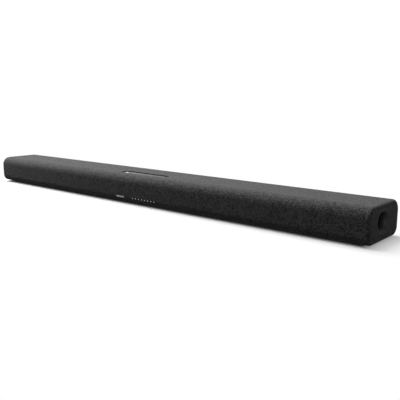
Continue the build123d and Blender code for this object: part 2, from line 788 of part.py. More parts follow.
def socket_box(place, mouth_width, mouth_height, tongue_width):
    """A shell socket on a board: a box with a mouth at the back and a contact tongue in it."""
    x, width, height = place
    middle_z = board_top + height / 2
    with BuildPart() as socket:
        block((x - width / 2, x + width / 2), (socket_back_y, socket_mouth_y), (board_top, board_top + height))
        block(
            (x - mouth_width / 2, x + mouth_width / 2),
            (socket_mouth_y - socket_mouth_depth, socket_mouth_y),
            (middle_z - mouth_height / 2, middle_z + mouth_height / 2),
            mode=Mode.SUBTRACT,
        )
        if tongue_width:
            block(
                (x - tongue_width / 2, x + tongue_width / 2),
                (socket_mouth_y - socket_mouth_depth, socket_mouth_y - tongue_setback),
                (middle_z - tongue_thickness / 2, middle_z + tongue_thickness / 2),
            )
    return socket.part


for name, place, tongue_width in (
    ("hdmi_socket", video_socket, video_socket[1] - 5.0),
    ("usb_socket", service_socket, service_socket[1] - 3.0),
):
    socket = socket_box(place, place[1] - 2 * socket_wall, place[2] - 2 * socket_wall, tongue_width)
    socket.label = name
    export_step(socket, f"parts/{name}.step")

with BuildPart() as optical_socket:
    add(socket_box(optical_socket_size, shutter_mouth, shutter_mouth, 0))
    hinge_hole = Location((optical_socket_size[0], socket_mouth_y - 2 * shutter_thickness, optical_axis_z), (0, 90, 0))
    with Locations(hinge_hole):
        Cylinder(hinge_radius + thread_gap, optical_socket_size[1] - 2 * socket_wall, mode=Mode.SUBTRACT)
optical_socket.part.label = "optical_socket"
export_step(optical_socket.part, "parts/optical_socket.step")

with BuildPart() as optical_shutter:
    x, hinge_y = optical_socket_size[0], socket_mouth_y - 2 * shutter_thickness
    block(
        (x - shutter_size / 2, x + shutter_size / 2),
        (hinge_y - shutter_thickness / 2, hinge_y + shutter_thickness / 2),
        (optical_axis_z - shutter_size + shutter_thickness, optical_axis_z),
    )
    with Locations(hinge_hole):
        Cylinder(hinge_radius, optical_socket_size[1] - 2 * socket_wall - 2 * slip)
optical_shutter.part.label = "optical_shutter"
export_step(optical_shutter.part, "parts/optical_shutter.step")

# mains inlet: a figure-of-eight mouth with two round pins
inlet_x, inlet_width, inlet_height = inlet_size
inlet_middle_z = board_top + inlet_height / 2
inlet_pin_radius = 1.2
inlet_pin_spacing = 8.6
inlet_lobe_radius = 3.7
inlet_mouth_depth = 10.0
inlet_pin_setback = 1.0
inlet_pin_edge = 0.6
inlet_plane = Plane(origin=(inlet_x, socket_mouth_y, inlet_middle_z), x_dir=(-1, 0, 0), z_dir=(0, 1, 0))
with BuildPart() as mains_inlet:
    block(
        (inlet_x - inlet_width / 2, inlet_x + inlet_width / 2),
        (socket_back_y, socket_mouth_y),
        (board_top, board_top + inlet_height),
    )
    with BuildSketch(inlet_plane):
        with GridLocations(inlet_pin_spacing, 0, 2, 1):
            Circle(inlet_lobe_radius)
        Rectangle(inlet_pin_spacing, inlet_lobe_radius * 1.5)
    extrude(amount=-inlet_mouth_depth, mode=Mode.SUBTRACT)
    with BuildSketch(inlet_plane):
        with GridLocations(inlet_pin_spacing, 0, 2, 1):
            Circle(inlet_pin_radius)
    extrude(amount=-socket_depth, mode=Mode.SUBTRACT)
mains_inlet.part.label = "mains_inlet"
export_step(mains_inlet.part, "parts/mains_inlet.step")

with BuildPart() as inlet_pins:
    with BuildSketch(inlet_plane.offset(-inlet_pin_setback)):
        with GridLocations(inlet_pin_spacing, 0, 2, 1):
            Circle(inlet_pin_radius)
    extrude(amount=inlet_pin_setback - socket_depth)
    fillet(faces().sort_by(Axis.Y)[-2:].edges(), inlet_pin_edge)
inlet_pins.part.label = "inlet_pins"
export_step(inlet_pins.part, "parts/inlet_pins.step")


# ---------------------------------------------------------------- drivers
def basket_inner(driver):
    """The cup's inner radius where it meets the magnet."""
    return 0.85 * driver.magnet_radius


def cup_bottom(driver):
    """The height at which the basket's cup sits on the magnet."""
    return driver.magnet_height - driver.depth


def make_basket(driver):
    """A pressed basket: a flange with four ears, and a cup with four windows down to the magnet."""
    low, foot = cup_bottom(driver), basket_inner(driver)
    front = -gasket_thickness
    with BuildPart() as basket:
        with BuildSketch(Plane.XZ):
            with BuildLine():
                Polyline(
                    (driver.roll_outer, front),
                    (driver.flange, front),
                    (driver.flange, -flange_back),
                    (driver.roll_outer + basket_sheet, -flange_back),
                    (foot + basket_sheet, low),
                    (driver.coil + 4 * coil_gap, low),
                    (driver.coil + 4 * coil_gap, low + basket_sheet),
                    (foot, low + basket_sheet),
                    (driver.roll_outer, -flange_back),
                    close=True,
                )
            make_face()
        revolve(axis=Axis.Z)
        with BuildSketch(Plane.XY.offset(-flange_back)):
            with PolarLocations(driver.flange + ear_reach, 4, start_angle=ear_angle):
                Circle(ear_radius)
            Circle(driver.roll_outer + basket_sheet, mode=Mode.SUBTRACT)
        extrude(amount=flange_back - gasket_thickness)
        window = (low + 2 * basket_sheet, -flange_back - basket_sheet)
        with PolarLocations(driver.flange, 4):
            with Locations((0, 0, (window[0] + window[1]) / 2)):
                Box(2 * (driver.flange - driver.coil - 6 * coil_gap), foot, window[1] - window[0], mode=Mode.SUBTRACT)
        with BuildSketch(Plane.XY):
            with PolarLocations(driver.flange + ear_reach, 4, start_angle=ear_angle):
                Circle(driver_screw_radius + slip)
        extrude(amount=-2 * flange_back, mode=Mode.SUBTRACT)
    return basket.part


def make_magnet(driver):
    """A ring magnet with its back plate and centre pole, and the gap between them for the coil."""
    top, back = cup_bottom(driver), -driver.depth
    plate = driver.magnet_height / 4
    with BuildPart() as magnet:
        with BuildSketch(Plane.XY.offset(back)):
            Circle(driver.magnet_radius)
        extrude(amount=driver.magnet_height)
        with BuildSketch(Plane.XY.offset(top)):
            Circle(driver.coil + coil_sheet + coil_gap)
            Circle(driver.coil - coil_gap, mode=Mode.SUBTRACT)
        extrude(amount=plate - driver.magnet_height, mode=Mode.SUBTRACT)
        fillet(faces().sort_by(Axis.Z)[0].edges(), plate / 3)
    return magnet.part


def make_surround(driver):
    """The rubber half roll round the cone, with the lip that is glued to the basket."""
    middle = (driver.roll_inner + driver.roll_outer) / 2
    roll = (driver.roll_outer - driver.roll_inner) / 2
    with BuildPart() as surround:
        with BuildSketch(Plane.XZ):
            with Locations((middle, 0)):
                Circle(roll)
                Circle(roll - surround_sheet, mode=Mode.SUBTRACT)
            with Locations((middle, -roll)):
                Rectangle(2 * roll, 2 * roll, mode=Mode.SUBTRACT)
            with Locations((driver.roll_outer + (surround_lip - surround_sheet) / 2, -gasket_thickness / 2)):
                Rectangle(surround_lip + surround_sheet, gasket_thickness)
        revolve(axis=Axis.Z)
    return surround.part


def make_spider(driver):
    """The pleated disc that centres the coil, glued to the foot of the cup."""
    low = cup_bottom(driver) + basket_sheet
    inner = driver.coil + coil_sheet + cone_gap
    outer = basket_inner(driver) - gap
    rim = outer - 1.5
    pleats = 2 * round((rim - inner) / 2.4)
    points = [(outer, low), (rim, low)]
    for step in range(1, pleats + 1):
        points.append((rim + (inner - rim) * step / pleats, low + (1.4 if step % 2 else 0.5)))
    with BuildPart() as spider:
        with BuildSketch(Plane.XZ):
            with BuildLine():
                Polyline(*points, *[(r, z + spider_sheet) for r, z in reversed(points)], close=True)
            make_face()
        revolve(axis=Axis.Z)
    return spider.part


def make_cone(driver):
    """The moving part: cone, dust cap and the voice coil on its former, in one piece."""
    rim = driver.roll_inner - cone_gap
    neck = -driver.cone_depth
    former = driver.coil + coil_sheet
    coil_end = cup_bottom(driver) - driver.magnet_height * 0.4
    slope = driver.cone_depth / (rim - former)
    cap_edge = former + 1.5
    cap_edge_z = neck + (cap_edge - former) * slope
    cap_top = cap_edge_z + cap_edge * 0.38
    bow = 0.12 * driver.cone_depth
    under_neck = neck - 2 * cone_sheet
    under_middle = ((rim + former) / 2, (under_neck - cone_sheet) / 2 + 0.8 * bow)
    with BuildPart() as cone:
        with BuildSketch(Plane.XZ):
            with BuildLine():
                ThreePointArc((rim, 0), ((rim + cap_edge) / 2, cap_edge_z / 2 + bow), (cap_edge, cap_edge_z))
                TangentArc((0, cap_top), (cap_edge, cap_edge_z), tangent=(1, 0))
                Line((0, cap_top), (0, cap_top - cap_sheet))
                Line((0, cap_top - cap_sheet), (driver.coil, neck))
                Line((driver.coil, neck), (driver.coil, coil_end))
                Line((driver.coil, coil_end), (former, coil_end))
                Line((former, coil_end), (former, under_neck))
                ThreePointArc((former, under_neck), under_middle, (rim, -cone_sheet))
                Line((rim, -cone_sheet), (rim, 0))
            make_face()
        revolve(axis=Axis.Z)
    return cone.part


def make_gasket(driver):
    """The foam ring between a driver's flange and its seat."""
    with BuildPart() as gasket:
        with BuildSketch(Plane.XY.offset(-gasket_thickness)):
            Circle(driver.flange)
            Circle(driver.roll_outer + surround_lip + thread_gap, mode=Mode.SUBTRACT)
        extrude(amount=gasket_thickness)
    return gasket.part


def make_screws(driver):
    """The four screws through a driver's ears."""
    reach = driver.flange + ear_reach
    with BuildPart() as screws:
        for radius, low, high in (
            (1.8 * driver_screw_radius, -flange_back - 1.2, -flange_back),
            (driver_screw_radius, -flange_back, driver_screw_bite),
        ):
            with BuildSketch(Plane.XY.offset(low)):
                with PolarLocations(reach, 4, start_angle=ear_angle):
                    Circle(radius)
            extrude(amount=high - low)
    return screws.part


for kind, (driver, planes) in zip(("front", "woofer", "height"), driver_sets):
    for noun, make in (
        ("baskets", make_basket), ("magnets", make_magnet), ("surrounds", make_surround), ("spiders", make_spider),
    ):
        with BuildPart() as group:
            with Locations(*planes):
                add(make(driver))
        group.part.label = f"{kind}_{noun}"
        export_step(group.part, f"parts/{kind}_{noun}.step")

for name, make in (("driver_gaskets", make_gasket), ("driver_screws", make_screws)):
    with BuildPart() as group:
        for driver, planes in driver_sets:
            with Locations(*planes):
                add(make(driver))
    group.part.label = name
    export_step(group.part, f"parts/{name}.step")

cone_names = (
    ("front_cone_1", "front_cone_2", "front_cone_3", "front_cone_4"),
    ("woofer_cone_left", "woofer_cone_right"),
    ("height_cone_left", "height_cone_right"),
)
for names, (driver, planes) in zip(cone_names, driver_sets):
    for name, plane in zip(names, planes):
        with BuildPart() as cone:
            with Locations(plane):
                add(make_cone(driver))
        cone.part.label = name
        export_step(cone.part, f"parts/{name}.step")

# ---------------------------------------------------------------- antennas
antenna_size = (0.8, 30.0, 9.0)
for name, side, (low, high) in (("antenna_left", -1, rib_limits[0]), ("antenna_right", 1, rib_limits[1])):
    face = high if side < 0 else low
    with BuildPart() as antenna:
        with Locations((face - side * antenna_size[0] / 2, 0, shell_back_height - antenna_size[2])):
            Box(*antenna_size)
    antenna.part.label = name
    export_step(antenna.part, f"parts/{name}.step")

# ---------------------------------------------------------------- ribbons, wires and the power lead
with BuildPart() as touch_ribbon:
    x, y = touch_ribbon_place
    with BuildSketch(Plane.YZ.offset(x - ribbon_width / 2)):
        with BuildLine():
            FilletPolyline(
                (y, touch_board_z), (y, baffle_ceiling - 6), (y + 9, baffle_ceiling - 18),
                (y + 9, board_top + 14), (y, board_top + 8), (y, board_top + touch_connector[4]), radius=4,
            )
        trace(line_width=ribbon_thickness)
    extrude(amount=ribbon_width)
touch_ribbon.part.label = "touch_ribbon"
export_step(touch_ribbon.part, "parts/touch_ribbon.step")

with BuildPart() as indicator_ribbon:
    ribbon_start = lamp_back + indicator_board_thickness
    ribbon_end = board_y[0] + 4.0
    with BuildSketch(Plane.YZ.offset(indicator_ribbon_x - ribbon_width / 2)):
        with BuildLine():
            FilletPolyline(
                (ribbon_start, indicator_ribbon_z), (cavity_y[0] + 2, indicator_ribbon_z),
                (cavity_y[0] + 6, indicator_ribbon_z + 3), (ribbon_end - 2, indicator_ribbon_z + 3),
                (ribbon_end, board_top), radius=1.5,
            )
        trace(line_width=ribbon_thickness)
    extrude(amount=ribbon_width)
    block((-beyond, beyond), (-beyond, beyond), (board_top, beyond), mode=Mode.INTERSECT)
indicator_ribbon.part.label = "indicator_ribbon"
export_step(indicator_ribbon.part, "parts/indicator_ribbon.step")

lead_radius = 1.5
lead_y = -22.0
lead_rise = 12.0
lead_bend = 6.0
lead_inset = 4.0
with BuildPart() as power_lead:
    start, end = main_board_x[1] - lead_inset, power_board_x[0] + lead_inset
    with BuildLine():
        FilletPolyline(
            (start, lead_y, board_top), (start, lead_y, board_top + lead_rise),
            (end, lead_y, board_top + lead_rise), (end, lead_y, board_top), radius=lead_bend,
        )
    with BuildSketch(Plane(origin=(start, lead_y, board_top), z_dir=(0, 0, 1))):
        Circle(lead_radius)
    sweep()
power_lead.part.label = "power_lead"
export_step(power_lead.part, "parts/power_lead.step")

# one wire to each driver, from under the main board, along the floor and up to the back of its magnet
with BuildPart() as speaker_wires:
    for side, start_x in zip((-1, 1), wire_starts):
        for number, (driver, plane) in enumerate(
            (
                (woofer, woofer_planes[(side + 1) // 2]), (front_driver, front_planes[side + 1 if side > 0 else 1]),
                (front_driver, front_planes[3 if side > 0 else 0]), (height_driver, height_planes[(side + 1) // 2]),
            )
        ):
            end = plane.origin - plane.z_dir * driver.depth
            lane_y = wire_lane_y - wire_pitch * (3 - number)
            points = [(start_x, lane_y, board_height), (start_x, lane_y, wire_floor_z), (end.X, lane_y, wire_floor_z)]
            if driver is woofer:
                points.append((end.X, end.Y, wire_floor_z))
            elif driver is front_driver:
                points += [(end.X, end.Y + wire_rise_gap, wire_floor_z), (end.X, end.Y + wire_rise_gap, end.Z)]
            with BuildLine() as route:
                FilletPolyline(*points, end, radius=3 * wire_radius)
            with BuildSketch(Plane(origin=points[0], z_dir=(0, 0, -1))):
                Circle(wire_radius)
            sweep(path=route.wire())
speaker_wires.part.label = "speaker_wires"
export_step(speaker_wires.part, "parts/speaker_wires.step")
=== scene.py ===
# Soundbar: the looks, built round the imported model, in metres.
# X runs along the bar, -Y is the front and +Z is up.
import math

import bmesh
import bpy
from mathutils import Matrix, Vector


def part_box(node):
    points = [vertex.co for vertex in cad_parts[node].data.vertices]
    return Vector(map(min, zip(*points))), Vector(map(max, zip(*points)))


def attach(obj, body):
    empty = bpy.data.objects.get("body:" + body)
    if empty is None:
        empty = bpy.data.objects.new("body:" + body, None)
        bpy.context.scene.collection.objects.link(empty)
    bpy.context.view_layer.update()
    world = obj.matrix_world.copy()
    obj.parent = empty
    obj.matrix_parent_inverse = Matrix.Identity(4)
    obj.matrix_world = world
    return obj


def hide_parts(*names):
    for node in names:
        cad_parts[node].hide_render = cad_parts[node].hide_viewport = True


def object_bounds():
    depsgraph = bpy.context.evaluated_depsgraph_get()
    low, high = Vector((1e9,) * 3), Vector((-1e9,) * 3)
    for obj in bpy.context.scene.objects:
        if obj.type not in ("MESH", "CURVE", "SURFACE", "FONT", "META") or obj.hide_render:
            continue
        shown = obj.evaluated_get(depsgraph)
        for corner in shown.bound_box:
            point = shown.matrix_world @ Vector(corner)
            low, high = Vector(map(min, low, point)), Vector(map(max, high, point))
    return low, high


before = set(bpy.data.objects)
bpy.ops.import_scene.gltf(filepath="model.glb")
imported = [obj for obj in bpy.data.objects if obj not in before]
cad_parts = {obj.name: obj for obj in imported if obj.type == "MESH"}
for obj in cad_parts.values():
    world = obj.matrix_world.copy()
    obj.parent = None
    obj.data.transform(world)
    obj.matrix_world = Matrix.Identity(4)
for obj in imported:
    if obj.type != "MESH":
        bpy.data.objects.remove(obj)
cad_low, cad_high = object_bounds()

# ---------------------------------------------------------------- studio
# A white sweep that the bar stands on, a broad soft light above its left half, a weak one in front and a
# small one off its right end. The camera stands to the right of the front and a little above the bar.


def clear_selection():
    """Nothing stays selected, so that the next operator works on the new piece alone."""
    bpy.ops.object.select_all(action="DESELECT")


clear_selection()
bpy.ops.mesh.primitive_plane_add(size=30, location=(0, 0, 0))
studio_floor = bpy.context.object
studio_floor.name = "studio_floor"
shade_core = (0.49, 0.042, 0)
fade_distance = 0.2
floor_paint = bpy.data.materials.new("floor_paint")
floor_paint.use_nodes = True
paint_nodes, paint_links = floor_paint.node_tree.nodes, floor_paint.node_tree.links
near_floor = paint_nodes["Principled BSDF"]
near_floor.inputs["Base Color"].default_value = (0.76, 0.76, 0.76, 1)
near_floor.inputs["Roughness"].default_value = 0.9
near_floor.inputs["Specular IOR Level"].default_value = 0.0
far_floor = paint_nodes.new("ShaderNodeEmission")
dim_floor = paint_nodes.new("ShaderNodeBsdfDiffuse")
dim_floor.inputs["Color"].default_value = (0.12, 0.12, 0.12, 1)
floor_place = paint_nodes.new("ShaderNodeTexCoord")
footprint_half = paint_nodes.new("ShaderNodeVectorMath")
footprint_half.operation = "ABSOLUTE"
paint_links.new(floor_place.outputs["Object"], footprint_half.inputs[0])
footprint_out = paint_nodes.new("ShaderNodeVectorMath")
footprint_out.operation = "SUBTRACT"
footprint_out.inputs[1].default_value = shade_core
paint_links.new(footprint_half.outputs[0], footprint_out.inputs[0])
footprint_clear = paint_nodes.new("ShaderNodeVectorMath")
footprint_clear.operation = "MAXIMUM"
paint_links.new(footprint_out.outputs[0], footprint_clear.inputs[0])
footprint_distance = paint_nodes.new("ShaderNodeVectorMath")
footprint_distance.operation = "LENGTH"
paint_links.new(footprint_clear.outputs[0], footprint_distance.inputs[0])
floor_fade = paint_nodes.new("ShaderNodeValToRGB")
floor_fade.color_ramp.elements[0].position = 0.0
floor_fade.color_ramp.elements[0].color = (0, 0, 0, 1)
floor_fade.color_ramp.elements[1].position = 1.0
floor_fade.color_ramp.elements[1].color = (1, 1, 1, 1)
for position, level in ((0.03, 0.14), (0.08, 0.34), (0.2, 0.66), (0.5, 0.9)):
    floor_fade.color_ramp.elements.new(position).color = (level, level, level, 1)
fade_reach = paint_nodes.new("ShaderNodeMath")
fade_reach.operation = "DIVIDE"
fade_reach.inputs[1].default_value = fade_distance
paint_links.new(footprint_distance.outputs["Value"], fade_reach.inputs[0])
paint_links.new(fade_reach.outputs[0], floor_fade.inputs[0])
floor_sweep = paint_nodes.new("ShaderNodeMixShader")
paint_links.new(floor_fade.outputs[0], floor_sweep.inputs[0])
paint_links.new(near_floor.outputs[0], floor_sweep.inputs[1])
paint_links.new(far_floor.outputs[0], floor_sweep.inputs[2])
floor_seen = paint_nodes.new("ShaderNodeLightPath")
floor_choice = paint_nodes.new("ShaderNodeMixShader")
paint_links.new(floor_seen.outputs["Is Camera Ray"], floor_choice.inputs[0])
paint_links.new(dim_floor.outputs[0], floor_choice.inputs[1])
paint_links.new(floor_sweep.outputs[0], floor_choice.inputs[2])
paint_links.new(floor_choice.outputs[0], paint_nodes["Material Output"].inputs["Surface"])
studio_floor.data.materials.append(floor_paint)

studio_air = bpy.data.worlds.new("studio_air")
bpy.context.scene.world = studio_air
studio_air.use_nodes = True
air_nodes, air_links = studio_air.node_tree.nodes, studio_air.node_tree.links
air_light = air_nodes["Background"]
air_light.inputs["Color"].default_value = (1, 1, 1, 1)
air_light.inputs["Strength"].default_value = 0.15
air_backdrop = air_nodes.new("ShaderNodeBackground")
air_backdrop.inputs["Color"].default_value = (1, 1, 1, 1)
air_backdrop.inputs["Strength"].default_value = 1.1
air_seen = air_nodes.new("ShaderNodeLightPath")
air_choice = air_nodes.new("ShaderNodeMixShader")
air_links.new(air_seen.outputs["Is Camera Ray"], air_choice.inputs[0])
air_links.new(air_light.outputs[0], air_choice.inputs[1])
air_links.new(air_backdrop.outputs[0], air_choice.inputs[2])
air_links.new(air_choice.outputs[0], air_nodes["World Output"].inputs["Surface"])

for name, power, size, place, turn in (
    ("overhead_softbox", 132, 2.0, (-1.15, 0.2, 1.85), (-6, -26, 0)),
    ("front_fill", 2.2, 1.0, (1.2, -1.5, 0.5), (74, 0, 27)),
    ("end_fill", 0.8, 0.5, (1.6, -0.5, 0.6), (65, 0, 66)),
):
    bpy.ops.object.light_add(type="AREA", location=place, rotation=[math.radians(angle) for angle in turn])
    lamp = bpy.context.object
    lamp.name = name
    lamp.data.energy = power
    lamp.data.size = size

camera_turn = [math.radians(angle) for angle in (79.04, 0, 40.46)]
bpy.ops.object.camera_add(location=(0.8284, -0.8176, 0.2283), rotation=camera_turn)
bpy.context.object.data.sensor_width = 36
bpy.context.object.data.lens = 49.5
bpy.context.scene.camera = bpy.context.object
bpy.context.scene.view_settings.view_transform = "Standard"

# ---------------------------------------------------------------- knitted cover
# One stretched sleeve of charcoal knitted polyester over the front, the top and both ends. It is heat-set
# over the grille and tucked in round the flares, the panel, the badge, the lights and the bottom shell.
cover_half = (cad_high.x, cad_high.y)
cover_bottom, cover_top = 0.0025, 0.063
cover_corners = (
    (-1, cover_bottom, 0.015), (-1, cover_top, 0.019), (1, cover_top, 0.020), (1, cover_bottom, 0.014),
)
cover_end_radius = 0.005
cloth_thickness = 0.0007
hem_radius = 0.00025
tuck_gap = 0.00015
flare_oval = (0.0483, 0.0408)
port_place = (-0.005, 0.0345)
end_cut_depth = 0.03
cutter_reach = 0.01
badge_cut_depth = 0.003
panel_corner = 0.004
light_hole_radius = 0.001
skin_depth = 0.0012


def box_piece(name, low, high):
    """A box between two corners, with its place in its mesh."""
    clear_selection()
    centre = [(a + b) / 2 for a, b in zip(low, high)]
    bpy.ops.mesh.primitive_cube_add(size=1, location=centre, scale=[b - a for a, b in zip(low, high)])
    piece = bpy.context.object
    piece.name = name
    bpy.ops.object.transform_apply(location=True, rotation=True, scale=True)
    return piece


def bevel_edges(piece, chosen, radius, segments):
    """Rounds the edges whose two ends both pass the test."""
    bpy.context.view_layer.objects.active = piece
    bpy.ops.object.mode_set(mode="EDIT")
    bpy.ops.mesh.select_mode(type="EDGE")
    bpy.ops.mesh.select_all(action="DESELECT")
    mesh = bmesh.from_edit_mesh(piece.data)
    for edge in mesh.edges:
        edge.select = chosen(edge.verts[0].co, edge.verts[1].co)
    bmesh.update_edit_mesh(piece.data)
    bpy.ops.mesh.bevel(offset=radius, segments=segments, affect="EDGES")
    bpy.ops.object.mode_set(mode="OBJECT")


def lies_along(axis, at=None):
    """A test for edges parallel to an axis, and passing through a place on the other two."""

    def test(first, second):
        others = [a for a in range(3) if a != axis]
        straight = all(abs(first[a] - second[a]) < 1e-6 for a in others)
        return straight and (at is None or all(abs(first[a] - at[i]) < 1e-4 for i, a in enumerate(others)))

    return test


def apply_modifier(piece, kind, **settings):
    """Adds a modifier with its settings and applies it."""
    clear_selection()
    piece.select_set(True)
    bpy.context.view_layer.objects.active = piece
    modifier = piece.modifiers.new(kind.lower(), kind)
    for key, value in settings.items():
        setattr(modifier, key, value)
    bpy.ops.object.modifier_apply(modifier=modifier.name)


def smooth_piece(piece, angle=35):
    """Shades a piece smooth, apart from its sharp edges, with the flat faces kept flat."""
    clear_selection()
    piece.select_set(True)
    bpy.context.view_layer.objects.active = piece
    bpy.ops.object.shade_smooth_by_angle(angle=math.radians(angle))
    apply_modifier(piece, "WEIGHTED_NORMAL", keep_sharp=True, mode="FACE_AREA", weight=50)


def cut(piece, cutter):
    """Cuts one piece out of another and removes the cutter."""
    apply_modifier(piece, "BOOLEAN", object=cutter, operation="DIFFERENCE", solver="EXACT")
    bpy.data.objects.remove(cutter)


knit_cover = box_piece(
    "knit_cover", (-cover_half[0], -cover_half[1], cover_bottom), (cover_half[0], cover_half[1], cover_top)
)
for facing, corner_z, radius in cover_corners:
    bevel_edges(knit_cover, lies_along(0, (facing * cover_half[1], corner_z)), radius, 14)
for side in (-1, 1):
    end_x = side * cover_half[0]
    bevel_edges(
        knit_cover, lambda a, b: abs(a.x - end_x) < 1e-5 and abs(b.x - end_x) < 1e-5, cover_end_radius, 5
    )
for side in (-1, 1):
    inner_x, outer_x = sorted((side * (cover_half[0] - end_cut_depth), side * (cover_half[0] + cutter_reach)))
    flare_plug = box_piece(
        "flare_plug",
        (inner_x, port_place[0] - flare_oval[0] / 2, port_place[1] - flare_oval[1] / 2),
        (outer_x, port_place[0] + flare_oval[0] / 2, port_place[1] + flare_oval[1] / 2),
    )
    bevel_edges(flare_plug, lies_along(0), flare_oval[1] / 2 - 1e-5, 16)
    cut(knit_cover, flare_plug)
panel_low, panel_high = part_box("panel_frame")
panel_plug = box_piece(
    "panel_plug",
    (panel_low.x - tuck_gap, panel_low.y - tuck_gap, cover_top - cutter_reach),
    (panel_high.x + tuck_gap, panel_high.y + tuck_gap, cover_top + cutter_reach),
)
bevel_edges(panel_plug, lies_along(2), panel_corner + tuck_gap, 8)
cut(knit_cover, panel_plug)
badge_low, badge_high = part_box("front_badge")
badge_plug = box_piece(
    "badge_plug",
    (badge_low.x - tuck_gap, badge_low.y - cutter_reach, badge_low.z - tuck_gap),
    (badge_high.x + tuck_gap, badge_low.y + badge_cut_depth, badge_high.z + tuck_gap),
)
bevel_edges(badge_plug, lies_along(1), (badge_high.z - badge_low.z) / 2 + tuck_gap - 1e-5, 8)
cut(knit_cover, badge_plug)
light_low, light_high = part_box("light_guide")
light_count = 8
light_pitch = (light_high.x - light_low.x) / light_count
light_places = [light_low.x + (place + 0.5) * light_pitch for place in range(light_count)]
light_z = (light_low.z + light_high.z) / 2
for light_x in light_places:
    clear_selection()
    bpy.ops.mesh.primitive_cylinder_add(
        vertices=20, radius=light_hole_radius, depth=cutter_reach,
        location=(light_x, -cover_half[1], light_z), rotation=(math.pi / 2, 0, 0),
    )
    cut(knit_cover, bpy.context.object)
shell_half_length, shell_front, shell_back_top = cover_half[0] - 0.012, -0.040, 0.044
shell_cut_back, shell_cut_floor = 0.08, -0.05
cut(
    knit_cover,
    box_piece(
        "shell_space",
        (-shell_half_length - tuck_gap, shell_front - tuck_gap, shell_cut_floor),
        (shell_half_length + tuck_gap, shell_cut_back, shell_back_top + tuck_gap),
    ),
)


def flat_after(corner):
    """The straight run of the section's outline between one rounded corner and the next."""
    facing, corner_z, radius = cover_corners[corner]
    next_facing, next_z, next_radius = cover_corners[(corner + 1) % len(cover_corners)]
    return abs(next_facing - facing) * cover_half[1] + abs(next_z - corner_z) - radius - next_radius


def outline_place(y, z):
    """How deep a point lies inside the outline of the bar's section, and how far round the outline it is."""
    ends, walked = [], 0.0
    for corner, (facing, corner_z, radius) in enumerate(cover_corners):
        up = -1 if corner_z == cover_top else 1
        centre_y, centre_z = facing * (cover_half[1] - radius), corner_z + up * radius
        out_y, out_z = (y - centre_y) * facing, (centre_z - z) * up
        arc = radius * math.pi / 2
        if out_y > -1e-9 and out_z > -1e-9:
            turned = math.atan2(out_z, out_y) if up < 0 else math.atan2(out_y, out_z)
            if facing > 0:
                turned = math.pi / 2 - turned
            return radius - math.hypot(out_y, out_z), walked + radius * turned
        ends.append((walked, walked + arc, centre_y, centre_z))
        walked += arc + flat_after(corner)
    flats = (
        (y + cover_half[1], ends[0][1] + z - ends[0][3]),
        (cover_top - z, ends[1][1] + y - ends[1][2]),
        (cover_half[1] - y, ends[2][1] + ends[2][3] - z),
        (z - cover_bottom, -y),
    )
    return min(flats)


bpy.context.view_layer.objects.active = knit_cover
bpy.ops.object.mode_set(mode="EDIT")
bpy.ops.mesh.select_mode(type="FACE")
bpy.ops.mesh.select_all(action="DESELECT")
cover_mesh = bmesh.from_edit_mesh(knit_cover.data)
for face in cover_mesh.faces:
    middle = face.calc_center_median()
    in_end = cover_half[0] - abs(middle.x)
    face.select = min(outline_place(middle.y, middle.z)[0], in_end) > skin_depth and in_end > cover_end_radius
bmesh.update_edit_mesh(knit_cover.data)
bpy.ops.mesh.delete(type="FACE")
cloth_map = cover_mesh.loops.layers.uv.verify()
for face in cover_mesh.faces:
    on_end = all(cover_half[0] - abs(vertex.co.x) < 1e-5 for vertex in face.verts)
    for loop in face.loops:
        x, y, z = loop.vert.co
        rolled = max(0.0, abs(x) - cover_half[0] + cover_end_radius) / cover_end_radius
        along = abs(x) + cover_end_radius * (math.asin(min(1.0, rolled)) - rolled)
        loop[cloth_map].uv = (y, z) if on_end else (math.copysign(along, x), outline_place(y, z)[1])
cloth_area = sum(face.calc_area() for face in cover_mesh.faces)
bmesh.update_edit_mesh(knit_cover.data)
bpy.ops.object.mode_set(mode="OBJECT")
apply_modifier(knit_cover, "SOLIDIFY", thickness=cloth_thickness, offset=-1, use_even_offset=True)
apply_modifier(
    knit_cover, "BEVEL", width=hem_radius, segments=2, limit_method="ANGLE", angle_limit=math.radians(60),
    use_clamp_overlap=True, loop_slide=False,
)
smooth_piece(knit_cover, 40)


def effect_group(name, inputs, outputs):
    """An empty shader node group with its sockets, its input and output nodes."""
    group = bpy.data.node_groups.new(name, "ShaderNodeTree")
    for label, kind, value in inputs:
        socket = group.interface.new_socket(label, in_out="INPUT", socket_type=kind)
        if value is not None:
            socket.default_value = value
    for label, kind in outputs:
        group.interface.new_socket(label, in_out="OUTPUT", socket_type=kind)
    return group, group.nodes.new("NodeGroupInput"), group.nodes.new("NodeGroupOutput")


def join(tree, start, end):
    """Links two sockets of a node tree."""
    tree.links.new(start, end)


def math_node(tree, operation, first, second=None, third=None, clamp=False):
    """A math node whose inputs are sockets or plain numbers."""
    node = tree.nodes.new("ShaderNodeMath")
    node.operation = operation
    node.use_clamp = clamp
    for socket, value in zip(node.inputs, (first, second, third)):
        if isinstance(value, (int, float)):
            socket.default_value = value
        elif value is not None:
            join(tree, value, socket)
    return node.outputs[0]


def noise_node(tree, place, scale, detail=2.0, roughness=0.5, output="Fac"):
    """A noise texture at a scale given in bumps per metre."""
    node = tree.nodes.new("ShaderNodeTexNoise")
    node.inputs["Scale"].default_value = scale
    node.inputs["Detail"].default_value = detail
    node.inputs["Roughness"].default_value = roughness
    join(tree, place, node.inputs["Vector"])
    return node.outputs[output]


def range_node(tree, value, from_range, to_range):
    """Maps one range of numbers to another."""
    node = tree.nodes.new("ShaderNodeMapRange")
    for index, number in enumerate((*from_range, *to_range), start=1):
        node.inputs[index].default_value = number
    join(tree, value, node.inputs[0])
    return node.outputs[0]


